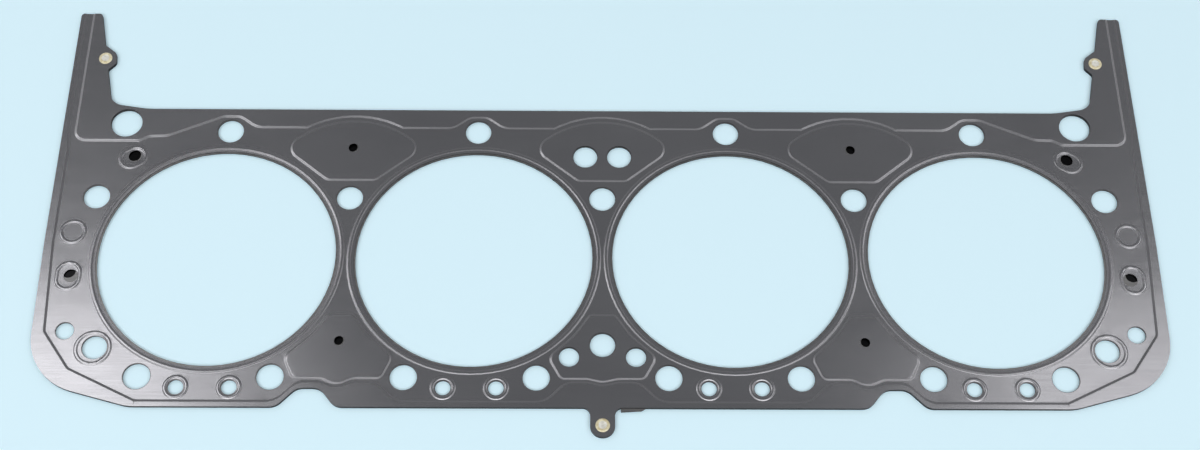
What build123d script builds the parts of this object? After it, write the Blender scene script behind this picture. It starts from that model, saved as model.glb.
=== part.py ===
from build123d import *
from math import atan, cos, degrees, radians, sin, sqrt, tan
import os

# Cylinder head gasket for a row of four cylinders, in laminated spring steel.
# Two embossed outer sheets lie face to face on a flat core sheet, and three
# semi-tubular rivets on the tabs hold the stack together.
# Millimetres. X runs along the bores, +Y points to the side with the two horns
# and Z is up. The origin is on the line of bores, midway between the two
# middle bores, on the underside of the lower sheet's sealing field.

# Sheets
sheet_thickness = 0.25
core_thickness = 0.5

# Bores
bore_radius = 51.56
web_width = 8.64
bore_setback = 0.75
bore_pitch = 2 * bore_radius + web_width

# Head bolt holes, in three rows: five of them lie on one circle round each bore
bolt_circle_radius = 63.0
bolt_hole_radius = 5.75
bolt_hole_setback = 0.3
upper_bolt_y = bolt_circle_radius
middle_bolt_y = sqrt(bolt_circle_radius**2 - (bore_pitch / 2) ** 2)
lower_bolt_y = -sqrt(bolt_circle_radius**2 - (bore_pitch / 4) ** 2)

# Outline
end_margin = 19.7
upper_margin = 11.4
lower_margin = 13.5
horn_height = 51.8
horn_tip_width = 9.6
horn_root_width = 20.7
horn_corner_radius = 1.6
horn_fillet_radius = 7.0
horn_fillet_run = 16.0
horn_fillet_rise = 2.6
end_taper = 1.3
lower_corner_width = 45.2
lower_corner_rise = 12.1
lower_corner_radius = 27.5
half_length = 2 * bore_pitch + end_margin
upper_edge_y = upper_bolt_y + upper_margin
lower_edge_y = lower_bolt_y - lower_margin
horn_tip_y = upper_edge_y + horn_height

# Notches in the lower edge, beside the two outer webs
notch_depth = 8.5
notch_width = 24.6
notch_inner_slope = 6.7
notch_outer_slope = 8.3
notch_radius = 6.5

# Tabs for the rivets: one in the lower edge and a bump inside each horn
tab_half_width = 5.2
tab_length = 13.0
tab_fillet_radius = 3.2
horn_rivet_inset = 14.3
horn_rivet_y = 0.522 * horn_height
bump_radius = 5.3

# Half beads: steps between the sealing field, which lies on the core, and the
# raised areas round it and within it, placed by the middle of their slope
step_rise = 0.3
step_width = 1.2
step_taper = degrees(atan(step_width / step_rise))
end_flange_width = 3.8
lower_flange_width = 2.6
upper_flange_width = 9.3
bolt_step_radius = 7.7
bolt_step_spread = 11.5
channel_width = 3.8
channel_inset = 2.0
shelf_drop = 16.6

# Raised islands between the bores, and the flange's waves below them
island_gap = 2.0
island_valley = 1.6
lens_valley = 2.6
lens_arc_radius = 40.0
lens_arc_angle = 38.0
lens_margin = 6.0
lens_half_width = 31.4
lens_shoulder_radius = 5.9
lens_foot_half_width = 10.7
lens_foot_gap = 9.0
wave_pitch = 6.5
wave_rise = 8.8
outer_wave_dip = 3.3
outer_wave_shoulder = 16.5
centre_wave_dip = 1.5
centre_wave_shoulder = 15.5
wave_slope_width = 8.6
lens_centre_y = upper_edge_y - lens_margin - lens_arc_radius

# Full beads: ridges round the bores and the passages
bead_rise = 0.24
bead_crest = 0.6
bore_bead_width = 2.2
bore_bead_gap = 0.99
ring_bead_width = 1.9
bore_bead_radius = bore_radius + bore_setback + bore_bead_gap + bore_bead_width / 2
island_circle_radius = bore_bead_radius + bore_bead_width / 2 + island_gap

# Rivets
rivet_shank_radius = 1.75
rivet_clearance = 0.1
rivet_head_radius = 3.05
rivet_head_height = 0.5
rivet_tail_radius = 2.7
rivet_tail_height = 0.4
rivet_dish_radius = 1.9
rivet_dish_depth = 0.22
rivet_bore_radius = 1.1
rivet_edge = 0.2

# Passages: radii in the outer sheets
hole_setback = 0.25
corner_hole_radius = 7.15
twin_hole_radius = 5.6
metering_hole_radius = 2.2
oil_hole_radius = 2.9
crescent_hole_radius = 3.1
crescent_shift = 1.3
pocket_shift = 0.5
end_hole_radius = 4.1
end_coolant_radius = 5.5
small_coolant_radius = 3.5
centre_hole_radius = 5.65
side_hole_radius = 4.55
small_coolant_offset = 16.8

# Locating lug of the core, beside the tab
lug_start = 2.4
lug_length = 12.6
lug_depth = 1.8

# Heights that several sub-parts share
core_z = sheet_thickness
upper_sheet_z = core_z + core_thickness
mirror_z = core_z + core_thickness / 2
total_rise = step_rise + sheet_thickness


def both_sides(points):
    """The points and their mirror images across the middle of the gasket."""
    return [(side * x, y) for x, y in points for side in (-1, 1)]


def spread(points, outward, up):
    """The points moved away from the middle of the gasket, and up."""
    return [(x + (outward if x > 0 else -outward), y + up) for x, y in points]


# Places that several sub-parts share
webs = [-bore_pitch, 0, bore_pitch]
bore_points = [(bore_pitch * (i - 1.5), 0) for i in range(4)]
upper_bolts = [(bore_pitch * (i - 1.5), upper_bolt_y) for i in range(4)]
middle_bolts = [(bore_pitch * (i - 2), middle_bolt_y) for i in range(5)]
lower_bolts = [(bore_pitch * (i - 3.5) / 2, lower_bolt_y) for i in range(8)]
corner_holes = both_sides([(half_length - 28.3, upper_bolt_y + 3.9)])
twin_holes = both_sides([(7.6, 50.5)])
metering_holes = both_sides([(bore_pitch, 54.5), (bore_pitch, -40.0)])
oil_holes = both_sides([(half_length - 34.2, 49.8)])
crescent_holes = both_sides([(half_length - 13.7, -9.8)])
end_holes = both_sides([(half_length - 14.7, -35.8)])
end_coolant_holes = both_sides([(half_length - 28.3, -43.4)])
centre_hole = [(0, -41.4)]
side_holes = both_sides([(14.2, -47.0)])
small_coolant_holes = both_sides(
    [
        (bore_pitch * quarter / 4 + side * small_coolant_offset, -61.2)
        for quarter, side in ((1, 1), (3, -1), (5, 1), (7, -1))
    ]
)
rivet_points = [
    (horn_rivet_inset - half_length, upper_edge_y + horn_rivet_y),
    (half_length - horn_rivet_inset, upper_edge_y + horn_rivet_y),
    (0, lower_edge_y - tab_length + tab_half_width),
]

# Ridges round passages: place, length and width of the crest, and its turn
ring_beads = [(point, 9.2, 9.2, 0) for point in small_coolant_holes]
ring_beads += [(point, 14.4, 14.4, 0) for point in both_sides([(half_length - 27.6, -43.7)])]
ring_beads += [(point, 10.4, 10.4, 0) for point in both_sides([(half_length - 11.7, 11.6)])]
ring_beads += [(point, 12.6, 9.8, 90) for point in both_sides([(half_length - 12.5, -9.8)])]
ring_beads += [
    ((half_length - 33.4, 49.2), 11.6, 9.2, -30),
    ((33.4 - half_length, 49.2), 11.6, 9.2, 30),
]


def blank(base_z, height):
    """A plate with the outline that the three sheets share."""
    horn_lean = (horn_root_width - horn_tip_width) / horn_height
    root_x = half_length - horn_root_width
    bump_x = half_length - horn_rivet_inset - bump_radius
    bump_y = upper_edge_y + horn_rivet_y
    notch_y = lower_edge_y + notch_depth

    def horn_point(y):
        return (root_x + horn_lean * (y - upper_edge_y), y)

    corners = [
        (0, upper_edge_y, 0),
        (root_x - horn_fillet_run, upper_edge_y, 40),
        (*horn_point(upper_edge_y + horn_fillet_rise), horn_fillet_radius),
        (*horn_point(bump_y - 6.2), 1.5),
        (bump_x, bump_y - 2.6, 2.6),
        (bump_x + 0.6, bump_y + 2.8, 3.0),
        (*horn_point(bump_y + 7.2), 3.0),
        (half_length - horn_tip_width, horn_tip_y, horn_corner_radius),
        (half_length, horn_tip_y, horn_corner_radius),
        (half_length, 6, 100),
        (half_length - end_taper, lower_edge_y + lower_corner_rise, lower_corner_radius),
        (half_length - lower_corner_width, lower_edge_y, 20),
        (bore_pitch + notch_width, lower_edge_y, notch_radius),
        (bore_pitch + notch_width - notch_outer_slope, notch_y, notch_radius),
        (bore_pitch + notch_inner_slope, notch_y, notch_radius),
        (bore_pitch, lower_edge_y, notch_radius),
        (tab_half_width, lower_edge_y, tab_fillet_radius),
        (tab_half_width, lower_edge_y - tab_length, 0.98 * tab_half_width),
        (0, lower_edge_y - tab_length, 0),
    ]
    with BuildPart() as body:
        with BuildSketch(Plane.XY.offset(base_z)):
            with BuildLine():
                FilletPolyline([c[:2] for c in corners], radius=[c[2] for c in corners[1:-1]])
                mirror(about=Plane.YZ)
            make_face()
        extrude(amount=height, dir=(0, 0, 1))
    return body.part


def mirrored(half, x):
    """A closed row of corners from its right half, about the line at x."""
    right = [(x + dx, y, r) for dx, y, r in half]
    left = [(x - dx, y, r) for dx, y, r in reversed(half) if dx > 0]
    return right + left


def shifted(corners, distance):
    """The corners of the parallel outline outside a clockwise one."""
    moved = []
    for i, (x, y, radius) in enumerate(corners):
        x0, y0, _ = corners[i - 1]
        x1, y1, _ = corners[(i + 1) % len(corners)]
        before = Vector(x - x0, y - y0).normalized()
        after = Vector(x1 - x, y1 - y).normalized()
        turn = before.X * after.Y - before.Y * after.X
        reach = distance / (1 + before.dot(after))
        corner = (x - reach * (before.Y + after.Y), y + reach * (before.X + after.X))
        change = distance if turn < 0 else -distance
        moved.append((*corner, radius + change if radius else 0))
    return moved


def sloped(corners, base_z, side):
    """A block with sloping sides, from the middle line of its slope: side 1 widens upward."""
    with BuildPart() as body:
        for z, distance in ((base_z, -step_width / 2), (base_z + step_rise, step_width / 2)):
            outline = shifted(corners, side * distance)
            with BuildSketch(Plane.XY.offset(z)):
                with BuildLine():
                    FilletPolyline([c[:2] for c in outline], radius=[c[2] for c in outline], close=True)
                make_face()
        loft(ruled=True)
    return body.part


def sloped_disc(point, radius, base_z):
    """A round block that widens upward."""
    with BuildPart() as body:
        with BuildSketch(Plane.XY.offset(base_z)):
            with Locations(point):
                Circle(radius - step_width / 2)
        extrude(amount=step_rise, dir=(0, 0, 1), taper=-step_taper)
    return body.part


def by_the_bore(angle):
    """A corner of an island, kept clear of the bore's bead."""
    turn = radians(angle)
    return (bore_pitch / 2 - island_circle_radius * cos(turn), island_circle_radius * sin(turn))


def lens_corners():
    """The island above a middle bolt: an arc with two shoulders and a narrow foot."""
    turn = radians(lens_arc_angle)
    apex_y = lens_centre_y + lens_arc_radius / cos(turn)
    foot_y = middle_bolt_y + lens_foot_gap
    return [
        (0, apex_y, lens_arc_radius),
        (lens_half_width, apex_y - lens_half_width * tan(turn), lens_shoulder_radius),
        (lens_foot_half_width, foot_y, 4),
    ]


def bell_corners(dip, shoulder):
    """The island below a middle bolt, spread between two bores."""
    floor_y = lower_edge_y + lower_flange_width + wave_rise + island_valley
    return [
        (*by_the_bore(-28.6), 2),
        (*by_the_bore(-40.3), 30),
        (*by_the_bore(-55.1), 4),
        (shoulder + 2.1, floor_y, 3),
        (wave_pitch, floor_y, 8),
        (0, floor_y - dip, 8),
    ]


def wave(x, dip, shoulder):
    """The field's edge where it goes over a web's foot, from right to left."""
    base_y = lower_edge_y + lower_flange_width
    crest_y = base_y + wave_rise
    half = [(shoulder + wave_slope_width, base_y, 10), (shoulder, crest_y, 8), (wave_pitch, crest_y, 10)]
    right = [(x + dx, y, r) for dx, y, r in half]
    left = [(x - dx, y, r) for dx, y, r in reversed(half)]
    return right + [(x, crest_y - dip, 10)] + left


def bolt_wave(x):
    """The field's edge where it goes over an upper bolt hole, from left to right."""
    base_y = upper_edge_y - upper_flange_width
    crest_y = upper_bolt_y + bolt_step_radius
    crest_width = bolt_step_spread - bolt_step_radius
    half = [(bolt_step_spread, base_y, 8), (crest_width, crest_y, 6)]
    left = [(x - dx, y, r) for dx, y, r in half]
    right = [(x + dx, y, r) for dx, y, r in reversed(half)]
    return left + right


def field(base_z):
    """The sealing field: the low area inside the perimeter step, less the raised islands."""
    inner_bolt_x = upper_bolts[-2][0]
    outer_bolt_x = upper_bolts[-1][0]
    shelf_y = upper_edge_y - shelf_drop
    channel_x = half_length - channel_inset
    side_x = half_length - end_flange_width
    base_y = lower_edge_y + lower_flange_width
    centre_wave = (centre_wave_dip, centre_wave_shoulder)
    outer_wave = (outer_wave_dip, outer_wave_shoulder)
    half = [
        *bolt_wave(inner_bolt_x),
        *bolt_wave(outer_bolt_x)[:3],
        (half_length - 47.2, shelf_y + 2.5, 8),
        (half_length - 39.4, shelf_y + 2.3, 3),
        (half_length - 35.0, shelf_y, 3),
        (channel_x - channel_width, shelf_y, 5),
        (channel_x - channel_width, horn_tip_y + 3, 0),
        (channel_x, horn_tip_y + 3, 0),
        (channel_x, shelf_y + 7.3, 10),
        (side_x, shelf_y - 3.1, 10),
        (side_x, 7, 60),
        (side_x - 2.3, lower_edge_y + 33.9, 4),
        (half_length - 18.4, lower_edge_y + 16.9, 3),
        (half_length - lower_corner_width - 2.8, base_y, 2),
        *wave(bore_pitch, *outer_wave),
        *wave(0, *centre_wave)[:4],
    ]
    with BuildPart() as body:
        add(sloped(mirrored(half, 0), base_z, 1))
        for x in webs:
            add(sloped_disc((x, lens_centre_y), lens_arc_radius + lens_valley, base_z))
        for x in webs:
            bell = bell_corners(*(outer_wave if x else centre_wave))
            add(sloped(mirrored(lens_corners(), x), base_z, -1), mode=Mode.SUBTRACT)
            add(sloped(mirrored(bell, x), base_z, -1), mode=Mode.SUBTRACT)
    return body.part


def ridge(point, length, width, turn, bead_width, base_z):
    """A closed ridge with sloping flanks, round or oblong."""
    taper = degrees(atan((bead_width - bead_crest) / 2 / bead_rise))
    with BuildPart() as body:
        for side, mode in ((1, Mode.ADD), (-1, Mode.SUBTRACT)):
            with BuildSketch(Plane.XY.offset(base_z)):
                with Locations(Location(point, turn)):
                    if length == width:
                        Circle((length + side * bead_width) / 2)
                    else:
                        SlotOverall(length + side * bead_width, width + side * bead_width)
            extrude(amount=bead_rise, dir=(0, 0, 1), taper=side * taper, mode=mode)
    return body.part


def ridges(base_z):
    """Every full bead of a sheet, standing up from the given height."""
    with BuildPart() as body:
        for point in bore_points:
            add(ridge(point, 2 * bore_bead_radius, 2 * bore_bead_radius, 0, bore_bead_width, base_z))
        for point, length, width, turn in ring_beads:
            add(ridge(point, length, width, turn, ring_bead_width, base_z))
    return body.part


def cutters(groups):
    """Round cutters through the whole stack, from pairs of places and a radius."""
    with BuildPart() as body:
        with BuildSketch(Plane.XY.offset(-5)):
            for points, radius in groups:
                with Locations(*points):
                    Circle(radius)
        extrude(amount=10, dir=(0, 0, 1))
    return body.part


def sheet(holes):
    """An embossed sheet, as it lies above the core."""
    with BuildPart() as body:
        add(field(upper_sheet_z))
        add(blank(upper_sheet_z + step_rise, sheet_thickness))
        add(blank(upper_sheet_z, total_rise), mode=Mode.INTERSECT)
        add(field(upper_sheet_z + sheet_thickness), mode=Mode.SUBTRACT)
        add(ridges(upper_sheet_z + sheet_thickness))
        add(ridges(upper_sheet_z), mode=Mode.SUBTRACT)
        add(cutters(holes), mode=Mode.SUBTRACT)
    return body.part


bolt_holes = upper_bolts + middle_bolts + lower_bolts
rivet_holes = [(rivet_points, rivet_shank_radius + rivet_clearance)]
sheet_holes = rivet_holes + [
    (bore_points, bore_radius + bore_setback),
    (bolt_holes, bolt_hole_radius + bolt_hole_setback),
    (corner_holes, corner_hole_radius),
    (twin_holes, twin_hole_radius),
    (end_holes, end_hole_radius),
    (end_coolant_holes, end_coolant_radius),
    (small_coolant_holes, small_coolant_radius),
    (centre_hole, centre_hole_radius),
    (side_holes, side_hole_radius),
]
core_holes = rivet_holes + [
    (bore_points, bore_radius),
    (bolt_holes, bolt_hole_radius),
    (corner_holes, corner_hole_radius - hole_setback),
    (twin_holes, twin_hole_radius - hole_setback),
    (end_holes, end_hole_radius - hole_setback),
    (end_coolant_holes, end_coolant_radius - hole_setback),
    (small_coolant_holes, small_coolant_radius - hole_setback),
    (centre_hole, centre_hole_radius - hole_setback),
    (side_holes, side_hole_radius - hole_setback),
    (spread(metering_holes, pocket_shift, pocket_shift), metering_hole_radius),
    (spread(oil_holes, pocket_shift, pocket_shift), oil_hole_radius),
    (spread(crescent_holes, crescent_shift, 1.7 * crescent_shift), crescent_hole_radius),
]

outer_sheet = sheet(sheet_holes)

# Upper sheet, with the openings of the pockets that end on the lower sheet
pocket_holes = [
    (metering_holes, metering_hole_radius),
    (oil_holes, oil_hole_radius),
    (crescent_holes, crescent_hole_radius),
]
with BuildPart() as upper_sheet:
    add(outer_sheet)
    add(cutters(pocket_holes), mode=Mode.SUBTRACT)
upper_sheet.part.label = "upper_sheet"

# Lower sheet: the same one turned over, closed under the pockets
with BuildPart() as lower_sheet:
    add(outer_sheet.mirror(Plane.XY.offset(mirror_z)))
lower_sheet.part.label = "lower_sheet"

# Core sheet
with BuildPart() as core_sheet:
    add(blank(core_z, core_thickness))
    with BuildSketch(Plane.XY.offset(core_z)):
        with BuildLine():
            Polyline(
                (tab_half_width + lug_start, lower_edge_y + 1),
                (tab_half_width + lug_start, lower_edge_y - lug_depth),
                (tab_half_width + lug_start + lug_length - 4, lower_edge_y - 0.7 * lug_depth),
                (tab_half_width + lug_start + lug_length, lower_edge_y + 1),
                close=True,
            )
        make_face()
    extrude(amount=core_thickness, dir=(0, 0, 1))
    add(cutters(core_holes), mode=Mode.SUBTRACT)
core_sheet.part.label = "core_sheet"


def rivet(point):
    """A semi-tubular rivet: a dished round head above and a rolled tail below."""
    seat_z = upper_sheet_z + total_rise
    tail_seat_z = 2 * mirror_z - seat_z
    head_z = seat_z + rivet_head_height
    tail_z = tail_seat_z - rivet_tail_height
    with BuildPart() as body:
        with BuildSketch(Plane.XZ):
            with BuildLine():
                Polyline(
                    (0, mirror_z),
                    (0, head_z - rivet_dish_depth),
                    (rivet_dish_radius - 3 * rivet_edge, head_z - rivet_dish_depth),
                    (rivet_dish_radius, head_z),
                    (rivet_head_radius - 2 * rivet_edge, head_z),
                    (rivet_head_radius, head_z - rivet_edge),
                    (rivet_head_radius, seat_z),
                    (rivet_shank_radius, seat_z),
                    (rivet_shank_radius, tail_seat_z),
                    (rivet_tail_radius, tail_seat_z),
                    (rivet_tail_radius, tail_z + rivet_edge),
                    (rivet_tail_radius - rivet_edge, tail_z),
                    (rivet_bore_radius + rivet_edge, tail_z),
                    (rivet_bore_radius, tail_z + rivet_edge),
                    (rivet_bore_radius, mirror_z),
                    close=True,
                )
            make_face()
        revolve(axis=Axis.Z)
    return body.part.moved(Location((*point, 0)))


# Rivets
with BuildPart() as horn_rivet_left:
    add(rivet(rivet_points[0]))
horn_rivet_left.part.label = "horn_rivet_left"

with BuildPart() as horn_rivet_right:
    add(rivet(rivet_points[1]))
horn_rivet_right.part.label = "horn_rivet_right"

with BuildPart() as tab_rivet:
    add(rivet(rivet_points[2]))
tab_rivet.part.label = "tab_rivet"

os.makedirs("parts", exist_ok=True)
export_step(upper_sheet.part, "parts/upper_sheet.step")
export_step(core_sheet.part, "parts/core_sheet.step")
export_step(lower_sheet.part, "parts/lower_sheet.step")
export_step(horn_rivet_left.part, "parts/horn_rivet_left.step")
export_step(horn_rivet_right.part, "parts/horn_rivet_right.step")
export_step(tab_rivet.part, "parts/tab_rivet.step")
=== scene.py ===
from math import atan, cos, pi, radians, sin

import bpy
import numpy as np
from mathutils import Matrix, Vector


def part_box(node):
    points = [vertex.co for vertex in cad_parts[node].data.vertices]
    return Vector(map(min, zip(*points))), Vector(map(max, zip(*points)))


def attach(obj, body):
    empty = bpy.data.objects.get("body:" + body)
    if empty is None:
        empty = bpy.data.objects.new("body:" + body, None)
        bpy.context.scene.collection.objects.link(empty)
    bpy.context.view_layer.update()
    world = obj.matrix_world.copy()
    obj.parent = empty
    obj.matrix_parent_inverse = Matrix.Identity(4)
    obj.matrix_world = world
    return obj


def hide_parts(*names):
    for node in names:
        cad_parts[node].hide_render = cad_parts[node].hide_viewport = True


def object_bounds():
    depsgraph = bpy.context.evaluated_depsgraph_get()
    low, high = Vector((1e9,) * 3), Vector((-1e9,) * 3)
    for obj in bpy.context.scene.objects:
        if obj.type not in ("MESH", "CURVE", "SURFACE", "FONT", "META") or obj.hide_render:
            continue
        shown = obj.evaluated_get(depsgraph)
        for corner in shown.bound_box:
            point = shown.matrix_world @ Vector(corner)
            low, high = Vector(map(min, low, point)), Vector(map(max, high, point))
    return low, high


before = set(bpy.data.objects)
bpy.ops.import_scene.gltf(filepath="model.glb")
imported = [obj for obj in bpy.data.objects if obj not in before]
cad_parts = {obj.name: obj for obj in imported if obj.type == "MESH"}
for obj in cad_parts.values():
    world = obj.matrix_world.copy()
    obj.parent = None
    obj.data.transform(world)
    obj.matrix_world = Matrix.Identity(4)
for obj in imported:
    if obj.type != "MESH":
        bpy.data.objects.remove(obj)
cad_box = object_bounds()

ROOT = "root"
MM = 0.001

# Millimetre sizes of the gasket, as the solids have them
SHEET_THICKNESS = 0.25
CORE_THICKNESS = 0.5
STEP_RISE = 0.3
STEP_WIDTH = 1.2
BEAD_RISE = 0.24
BORE_COUNT = 4
BORE_PITCH = 111.76

# Faces with a tilt between these two are flanks, and a step's flanks are gentler than a bead's
FLANK_TILTS = (radians(8), radians(30))
TILT_MARGIN = radians(1.2)
STEP_TILT_LIMIT = atan(STEP_RISE / STEP_WIDTH) + TILT_MARGIN
FLANK_BANDS = 6

# How much a surface looks up, from 0 to 1: from cut edge to face, and from flank to flat face
EDGE_TO_FACE = (0.3, 0.6)
FLANK_TO_FLAT = (0.965, 0.995)

# The rim round a bore springs up between the outer two of these radii, most at the middle one
RIM_RADII = (52.31, 53.3, 54.1)
RIM_LIFT = 0.045

# Corners are rounded to this many places in a metre, and those that then agree are joined
PLACES_PER_METRE = 1e8

# Edges that turn by more than this stay sharp
SHARP_ANGLE = radians(35)

# A triangle's normal is divided by this at least, so that one with no area does no harm
SMALLEST_LENGTH = 1e-20

# Millimetre sizes of the rivets, and the sides that one turn has
HEAD_HEIGHT = 0.5
TAIL_HEIGHT = 0.4
SHANK_RADIUS = 1.75
SHANK_BORE_RADIUS = 1.1
SHANK_BORE_TOP = 0.5
RIVET_SIDES = 48

# Faces inside the dish's radius and less than this below the head's top are the dish, in millimetres
DISH_LIMIT = 0.3

# The photograph's camera, in pixels, degrees and millimetres
PHOTO_WIDTH = 1200
FOCAL_PIXELS = 1728.3
ELEVATION = 62.47
AZIMUTH = -1.38
ROLL = -1.49
TARGET = (-1.0, 16.6, 0.0)
DISTANCE = 761.7
SENSOR_WIDTH = 36.0

# The paper under the gasket, how much it glows to the camera, and its size and place in metres
PAPER = (0.70, 0.90, 0.985)
PAPER_LIFT = 0.14
PAPER_SIZE = 12
PAPER_CENTRE_Y = 1.5

# Painted shade on the sheets, near black on their inner faces and cut edges, and dark painted shade on the
# core's cut edges
INNER_PAINTED_SHADE = (0.012, 0.012, 0.013)
CORE_EDGE_PAINTED_SHADE = (0.05, 0.048, 0.047)

# Soft lamps that hang over the gasket: name, reach in x and in y in metres, and brightness as seen
PANEL_HEIGHT = 1.2
PANELS = [
    ("left_panel", (-0.75, -0.47), (0.17, 0.545), 2.4),
    ("left_inner_panel", (-0.75, -0.32), (0.1, 0.5), 0.45),
    ("left_outer_panel", (-1.75, -0.8), (0.38, 0.62), 3.0),
    ("left_front_panel", (-1.75, -0.46), (-0.9, 0.1), 0.5),
    ("left_low_panel", (-0.46, 0), (-0.9, 0), 0.1),
    ("left_back_panel", (-2.1, -1.1), (0.545, 1.4), 0.5),
    ("right_panel", (0.5, 0.75), (0.17, 0.52), 1.6),
    ("right_inner_panel", (0.35, 0.75), (0.1, 0.48), 0.4),
    ("right_outer_panel", (0.8, 1.75), (0.38, 0.56), 2.3),
    ("right_front_panel", (0.5, 1.75), (-0.9, 0.1), 0.45),
    ("right_low_panel", (0, 0.5), (-0.9, 0), 0.06),
    ("right_back_panel", (1.1, 2.1), (0.5, 1.4), 0.45),
    ("far_panel", (-1.5, 1.5), (1.1, 3.0), 0.09),
]

# The lamp that lights the paper from behind the camera, given in the same way
FILL_HEIGHT = 3.0
FILL_PANEL = ("fill_panel", (-2.6, 2.6), (-3.7, -1.15), 2.9)

# The light from all round
STUDIO_COLOUR = (0.93, 0.97, 1)
STUDIO_STRENGTH = 0.19


# Small helpers for node trees

def node(tree, kind, **inputs):
    """A shader node with some of its sockets set."""
    made = tree.nodes.new(kind)
    for name, value in inputs.items():
        made.inputs[name.replace("_", " ")].default_value = value
    return made


def link(tree, source, target):
    tree.links.new(source, target)


def new_material(name):
    material = bpy.data.materials.new(name)
    material.use_nodes = True
    tree = material.node_tree
    return material, tree, tree.nodes["Principled BSDF"]


def stretched_noise(tree, scale, detail=3.0, roughness=0.55):
    """Noise in the object's own coordinates, with its own scale along each axis, in features per metre."""
    place = node(tree, "ShaderNodeTexCoord")
    mapping = node(tree, "ShaderNodeMapping", Scale=scale)
    noise = node(tree, "ShaderNodeTexNoise", Scale=1.0, Detail=detail, Roughness=roughness)
    link(tree, place.outputs["Object"], mapping.inputs["Vector"])
    link(tree, mapping.outputs["Vector"], noise.inputs["Vector"])
    return noise.outputs["Fac"]


def ramp(tree, value, low, high, from_low=0.35, from_high=0.65):
    """A number that runs from low to high while the value runs between its own two ends."""
    made = tree.nodes.new("ShaderNodeMapRange")
    made.inputs["From Min"].default_value = from_low
    made.inputs["From Max"].default_value = from_high
    made.inputs["To Min"].default_value = low
    made.inputs["To Max"].default_value = high
    link(tree, value, made.inputs["Value"])
    return made.outputs["Result"]


def calculated(tree, operation, *values):
    """The result of one operation on values that other nodes make."""
    made = tree.nodes.new("ShaderNodeMath")
    made.operation = operation
    for value, target in zip(values, made.inputs):
        link(tree, value, target)
    return made.outputs["Value"]


def colour_sockets(sockets):
    return [socket for socket in sockets if socket.type == "RGBA"]


def mix_colour(tree, factor, first, second):
    """A blend between two fixed colours."""
    made = tree.nodes.new("ShaderNodeMix")
    made.data_type = "RGBA"
    for socket, colour in zip(colour_sockets(made.inputs), (first, second)):
        socket.default_value = (*colour, 1)
    link(tree, factor, made.inputs[0])
    return colour_sockets(made.outputs)[0]


def mix_pair(tree, factor, first, second):
    """A blend between a fixed colour and one that another node makes."""
    result = mix_colour(tree, factor, first, first)
    link(tree, second, colour_sockets(result.node.inputs)[1])
    return result


def upward(tree):
    """How much a face looks up: 1 on a flat top, 0 on a cut edge and -1 on a flat underside."""
    geometry = tree.nodes.new("ShaderNodeNewGeometry")
    parts = tree.nodes.new("ShaderNodeSeparateXYZ")
    link(tree, geometry.outputs["True Normal"], parts.inputs["Vector"])
    return parts.outputs["Z"]


def flatness(tree):
    """1 on a flat face, whichever way it looks, and 0 on a cut edge."""
    return calculated(tree, "ABSOLUTE", upward(tree))


def facing(tree, way=0):
    """1 on faces that look up (way 1), down (way -1) or either (way 0), and 0 on the cut edges."""
    if way:
        return ramp(tree, upward(tree), 0, 1, *(way * level for level in EDGE_TO_FACE))
    return ramp(tree, flatness(tree), 0, 1, *EDGE_TO_FACE)


def steepness(tree, flat, steep):
    """A value that runs from one number on the flat to another on the pressed flanks."""
    return ramp(tree, flatness(tree), steep, flat, *FLANK_TO_FLAT)


def bump(tree, height, strength, distance, before=None):
    """A relief from a height, on top of one made before; the distance is in metres."""
    made = node(tree, "ShaderNodeBump", Strength=strength, Distance=distance)
    link(tree, height, made.inputs["Height"])
    if before:
        link(tree, before, made.inputs["Normal"])
    return made.outputs["Normal"]


# Materials

def coated_steel(name, outward):
    """Spring steel with fine rolling marks, coated grey on its outward face, with near-black painted shade
    on its inner face and cut edges.
    """
    material, tree, shader = new_material(name)
    shader.inputs["Metallic"].default_value = 0.92
    cloud = stretched_noise(tree, (14, 22, 1))
    rolling = stretched_noise(tree, (40, 1500, 1), detail=4.0)
    grain = stretched_noise(tree, (5200, 5200, 5200), detail=2.0)
    face = mix_colour(tree, ramp(tree, cloud, 0, 1), (0.37, 0.365, 0.385), (0.41, 0.405, 0.425))
    # The inner face and cut edges get near-black painted shade in place of the grey coat
    colour = mix_pair(tree, facing(tree, outward), INNER_PAINTED_SHADE, face)
    link(tree, colour, shader.inputs["Base Color"])
    roughness = calculated(tree, "ADD", ramp(tree, rolling, 0.17, 0.21), steepness(tree, 0, 0.12))
    link(tree, roughness, shader.inputs["Roughness"])
    relief = bump(tree, cloud, 0.25, 0.0005)
    relief = bump(tree, rolling, 0.03, 0.00001, relief)
    relief = bump(tree, grain, 0.04, 0.00002, relief)
    link(tree, relief, shader.inputs["Normal"])
    return material


def core_steel():
    """The plain rolled steel of the core sheet, with dark painted shade on its cut edges."""
    material, tree, shader = new_material("core_steel")
    shader.inputs["Metallic"].default_value = 0.9
    rolling = stretched_noise(tree, (80, 2400, 900))
    face = mix_colour(tree, ramp(tree, rolling, 0, 1), (0.22, 0.216, 0.216), (0.3, 0.296, 0.298))
    # The cut edges get dark painted shade
    colour = mix_pair(tree, facing(tree), CORE_EDGE_PAINTED_SHADE, face)
    link(tree, colour, shader.inputs["Base Color"])
    link(tree, ramp(tree, rolling, 0.3, 0.42), shader.inputs["Roughness"])
    return material


def rivet_metal(name, dark, light, roughness):
    """A pale plating with small dents."""
    material, tree, shader = new_material(name)
    shader.inputs["Metallic"].default_value = 0.2
    dents = stretched_noise(tree, (900, 900, 900))
    colour = mix_colour(tree, ramp(tree, dents, 0, 1), dark, light)
    link(tree, colour, shader.inputs["Base Color"])
    link(tree, ramp(tree, dents, roughness - 0.06, roughness + 0.08), shader.inputs["Roughness"])
    link(tree, bump(tree, dents, 0.5, 0.00012), shader.inputs["Normal"])
    return material


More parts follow.
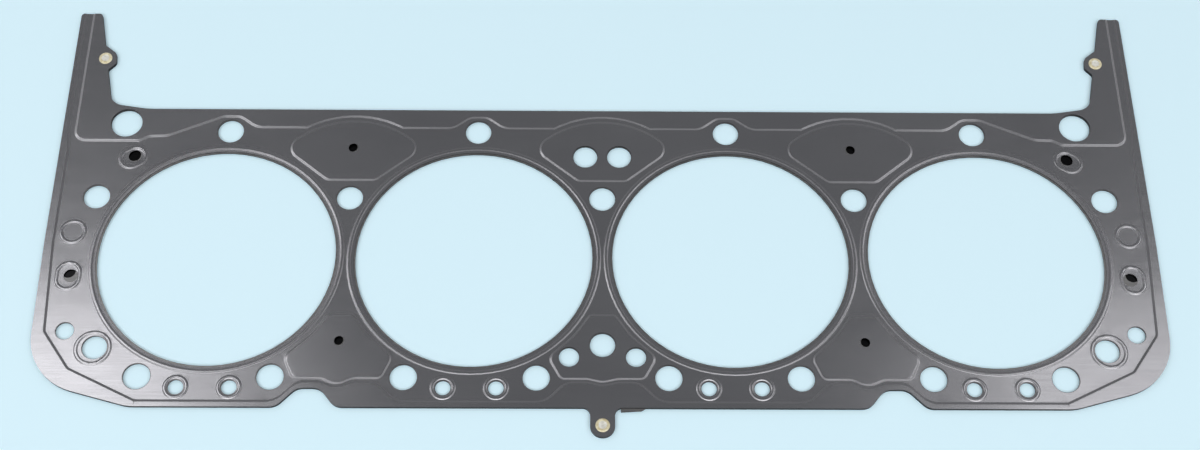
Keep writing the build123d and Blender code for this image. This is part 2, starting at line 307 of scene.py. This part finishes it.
def paper_floor():
    """Pale blue paper, a little brighter to the camera than it is to the gasket."""
    material, tree, shader = new_material("paper_floor")
    shader.inputs["Base Color"].default_value = (*PAPER, 1)
    shader.inputs["Roughness"].default_value = 0.9
    shader.inputs["Specular IOR Level"].default_value = 0.1
    path = tree.nodes.new("ShaderNodeLightPath")
    strength = ramp(tree, path.outputs["Is Camera Ray"], 0, PAPER_LIFT, 0, 1)
    shader.inputs["Emission Color"].default_value = (*PAPER, 1)
    link(tree, strength, shader.inputs["Emission Strength"])
    return material


# Meshes

def triangles_of(name):
    """A CAD node's corners and triangles."""
    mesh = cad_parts[name].data
    mesh.calc_loop_triangles()
    corners = np.array([v.co[:] for v in mesh.vertices])
    faces = np.array([t.vertices[:] for t in mesh.loop_triangles])
    return corners, faces


def normals_of(corners, faces):
    """The direction that each triangle faces."""
    a, b, c = (corners[faces[:, i]] for i in range(3))
    normals = np.cross(b - a, c - a)
    return normals / np.maximum(np.linalg.norm(normals, axis=1), SMALLEST_LENGTH)[:, None]


def sliced(polygon, level, keep_above):
    """The part of a flat polygon, with a height ratio as its last number, on one side of a level."""
    result = []
    for here, after in zip(polygon, polygon[1:] + polygon[:1]):
        a, b = here[3] - level, after[3] - level
        if not keep_above:
            a, b = -a, -b
        if a >= 0:
            result.append(here)
        if a * b < 0:
            share = a / (a - b)
            result.append(tuple(h + share * (n - h) for h, n in zip(here, after)))
    return result


def pressed(share):
    """The height ratio on a pressed flank, which starts and ends more gently than a straight one."""
    return 0.35 * share + 0.65 * share * share * (3 - 2 * share)


def pressed_bands(points, base, rise):
    """A flank's triangle, which rises from a base, as bands that follow the pressed curve."""
    rated = [(*p, min(max((p[2] - base) / rise, 0), 1)) for p in points]
    bands = []
    for band in range(FLANK_BANDS):
        piece = sliced(rated, band / FLANK_BANDS, True)
        piece = sliced(piece, (band + 1) / FLANK_BANDS, False)
        if len(piece) > 2:
            bands.append([(x, y, base + rise * pressed(share)) for x, y, _, share in piece])
    return bands


def rim_rise(x, y):
    """How far the narrow rim round a bore springs up toward its ridge, in metres, outward."""
    start, middle, end = RIM_RADII
    bores = [BORE_PITCH * (i - (BORE_COUNT - 1) / 2) for i in range(BORE_COUNT)]
    reach = min(Vector((x / MM - bore, y / MM)).length for bore in bores)
    share = min((reach - start) / (middle - start), (end - reach) / (end - middle), 1)
    return RIM_LIFT * max(share, 0) * MM


def softened_sheet(name, inner_z, outer_z):
    """The sheet with the straight flanks of its beads and steps pressed to soft curves.

    inner_z and outer_z are the heights of the field's two faces, the first against the core.
    """
    corners, faces = triangles_of(name)
    way = 1 if outer_z > inner_z else -1
    normals = normals_of(corners, faces)
    tilts = np.arccos(np.clip(np.abs(normals[:, 2]), 0, 1))
    polygons = []
    for face, normal, tilt in zip(faces, normals, tilts):
        points = [tuple(corners[i]) for i in face]
        if not FLANK_TILTS[0] < tilt < FLANK_TILTS[1]:
            polygons.append(points)
            continue
        base = (outer_z if normal[2] * way > 0 else inner_z) * MM
        rise = way * (STEP_RISE if tilt < STEP_TILT_LIMIT else BEAD_RISE) * MM
        polygons += pressed_bands(points, base, rise)
    sprung = [[(x, y, z + way * rim_rise(x, y)) for x, y, z in points] for points in polygons]
    return welded_mesh(name + "_pressed", sprung)


def welded_mesh(name, polygons):
    """A mesh from loose polygons, with corners at one place joined."""
    places = {}
    faces = []
    for points in polygons:
        face = []
        for point in points:
            key = tuple(round(number * PLACES_PER_METRE) for number in point)
            index = places.setdefault(key, len(places))
            if not face or (index != face[-1] and index != face[0]):
                face.append(index)
        if len(face) > 2:
            faces.append(face)
    mesh = bpy.data.meshes.new(name)
    corners = [tuple(number / PLACES_PER_METRE for number in place) for place in places]
    mesh.from_pydata(corners, [], faces)
    mesh.polygons.foreach_set("use_smooth", [True] * len(mesh.polygons))
    mesh.set_sharp_from_angle(angle=SHARP_ANGLE)
    return mesh


def rivet_profile(low, high):
    """The dish and the rest of the outline, from the top of the axis down, as (radius, height) in mm."""
    seat = high - HEAD_HEIGHT
    tail_seat = low + TAIL_HEIGHT
    dish = [(0, high - 0.13), (0.7, high - 0.14), (1.35, high - 0.12), (1.75, high - 0.05)]
    brim = [(2.0, high - 0.01), (2.25, high), (2.55, high - 0.03), (2.82, high - 0.12)]
    edge = [(3.0, high - 0.28), (3.05, seat)]
    shank = [(SHANK_RADIUS, seat), (SHANK_RADIUS, tail_seat)]
    rolled = [(2.7, tail_seat), (2.68, low + 0.18), (2.5, low + 0.04), (2.2, low), (1.6, low)]
    mouth = [(1.25, low + 0.1), (SHANK_BORE_RADIUS, low + 0.3)]
    tube = [(SHANK_BORE_RADIUS, SHANK_BORE_TOP), (0, SHANK_BORE_TOP)]
    return dish, brim + edge + shank + rolled + mouth + tube


def turned_faces(profile, centre):
    """The faces of a profile turned round an upright axis, in metres."""
    rows = []
    for radius, height in profile:
        angles = [2 * pi * i / RIVET_SIDES for i in range(RIVET_SIDES)] + [0]
        rows.append([
            ((centre.x + radius * cos(angle)) * MM, (centre.y + radius * sin(angle)) * MM, height * MM)
            for angle in angles
        ])
    faces = []
    for above, below in zip(rows, rows[1:]):
        for i in range(RIVET_SIDES):
            faces.append([above[i], below[i], below[i + 1], above[i + 1]])
    return faces


# Pieces

def add_piece(mesh, material, slot, *replaced):
    """A piece of the gasket that stands for CAD nodes."""
    piece = bpy.data.objects.new(mesh.name, mesh)
    bpy.context.scene.collection.objects.link(piece)
    mesh.materials.append(material)
    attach(piece, ROOT)
    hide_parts(*replaced)
    return piece


def add_sheet(name, inner_z, outer_z, material):
    """An outer sheet, shaded so that its flat faces stay flat next to the soft flanks."""
    piece = add_piece(softened_sheet(name, inner_z, outer_z), material, "coated_sheet", name)
    weighted = piece.modifiers.new("flat_faces_lead", "WEIGHTED_NORMAL")
    weighted.keep_sharp = True
    weighted.weight = 100


def dress_core():
    """The core keeps its own solid and gets a material."""
    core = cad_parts["core_sheet"]
    core.data.materials.clear()
    core.data.materials.append(core_steel())


def add_rivet(name, ring_metal, dish_metal):
    """A turned rivet in the place of the CAD one, with a second metal in the dish of its head."""
    low, high = (Vector(corner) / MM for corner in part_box(name))
    centre = (low + high) / 2
    dish, rest = rivet_profile(low.z, high.z)
    mesh = welded_mesh(name + "_turned", turned_faces(dish + rest, centre))
    add_piece(mesh, ring_metal, "rivet_brass", name)
    mesh.materials.append(dish_metal)
    dish_radius = dish[-1][0] * MM
    for polygon in mesh.polygons:
        reach = Vector((polygon.center.x - centre.x * MM, polygon.center.y - centre.y * MM)).length
        if reach < dish_radius and polygon.center.z > (high.z - DISH_LIMIT) * MM:
            polygon.material_index = 1


# Stage, light and camera

def add_floor():
    bpy.ops.mesh.primitive_plane_add(size=PAPER_SIZE, location=(0, PAPER_CENTRE_Y, cad_box[0][2]))
    floor = bpy.context.object
    floor.name = "floor"
    floor.data.materials.append(paper_floor())


def add_panel(name, x_range, y_range, radiance, height):
    """A soft lamp that faces straight down; its brightness is given as seen."""
    data = bpy.data.lights.new(name, "AREA")
    data.shape = "RECTANGLE"
    data.size = x_range[1] - x_range[0]
    data.size_y = y_range[1] - y_range[0]
    data.energy = radiance * pi * data.size * data.size_y
    lamp = bpy.data.objects.new(name, data)
    bpy.context.scene.collection.objects.link(lamp)
    lamp.location = (sum(x_range) / 2, sum(y_range) / 2, height)


def add_light():
    world = bpy.data.worlds.new("studio")
    bpy.context.scene.world = world
    world.use_nodes = True
    background = world.node_tree.nodes["Background"]
    background.inputs["Color"].default_value = (*STUDIO_COLOUR, 1)
    background.inputs["Strength"].default_value = STUDIO_STRENGTH
    for panel in PANELS:
        add_panel(*panel, PANEL_HEIGHT)
    add_panel(*FILL_PANEL, FILL_HEIGHT)


def add_camera():
    elevation, azimuth, roll = (radians(angle) for angle in (ELEVATION, AZIMUTH, ROLL))
    back = Vector((sin(azimuth) * cos(elevation), -cos(azimuth) * cos(elevation), sin(elevation)))
    right = Vector((0, 0, 1)).cross(back).normalized()
    up = back.cross(right)
    turned_right = cos(roll) * right - sin(roll) * up
    turned_up = back.cross(turned_right)
    data = bpy.data.cameras.new("camera")
    data.sensor_fit = "HORIZONTAL"
    data.sensor_width = SENSOR_WIDTH
    data.lens = FOCAL_PIXELS / PHOTO_WIDTH * SENSOR_WIDTH
    data.clip_start = 0.01
    data.clip_end = 50
    camera = bpy.data.objects.new("camera", data)
    bpy.context.scene.collection.objects.link(camera)
    turn = Matrix((turned_right, turned_up, back)).transposed()
    place = (Vector(TARGET) + back * DISTANCE) * MM
    camera.matrix_world = Matrix.Translation(place) @ turn.to_4x4()
    bpy.context.scene.camera = camera


core_top = SHEET_THICKNESS + CORE_THICKNESS
upper_coat = coated_steel("coated_steel_upper", 1)
lower_coat = coated_steel("coated_steel_lower", -1)
add_sheet("upper_sheet", core_top, core_top + SHEET_THICKNESS, upper_coat)
add_sheet("lower_sheet", SHEET_THICKNESS, 0.0, lower_coat)
dress_core()

brass = rivet_metal("pale_brass", (0.7, 0.6, 0.36), (0.95, 0.88, 0.64), 0.36)
silver = rivet_metal("worn_silver", (0.72, 0.7, 0.62), (0.97, 0.95, 0.88), 0.4)
for rivet in ("horn_rivet_left", "horn_rivet_right", "tab_rivet"):
    add_rivet(rivet, brass, silver)

add_floor()
add_light()
add_camera()
bpy.context.scene.view_settings.view_transform = "Standard"
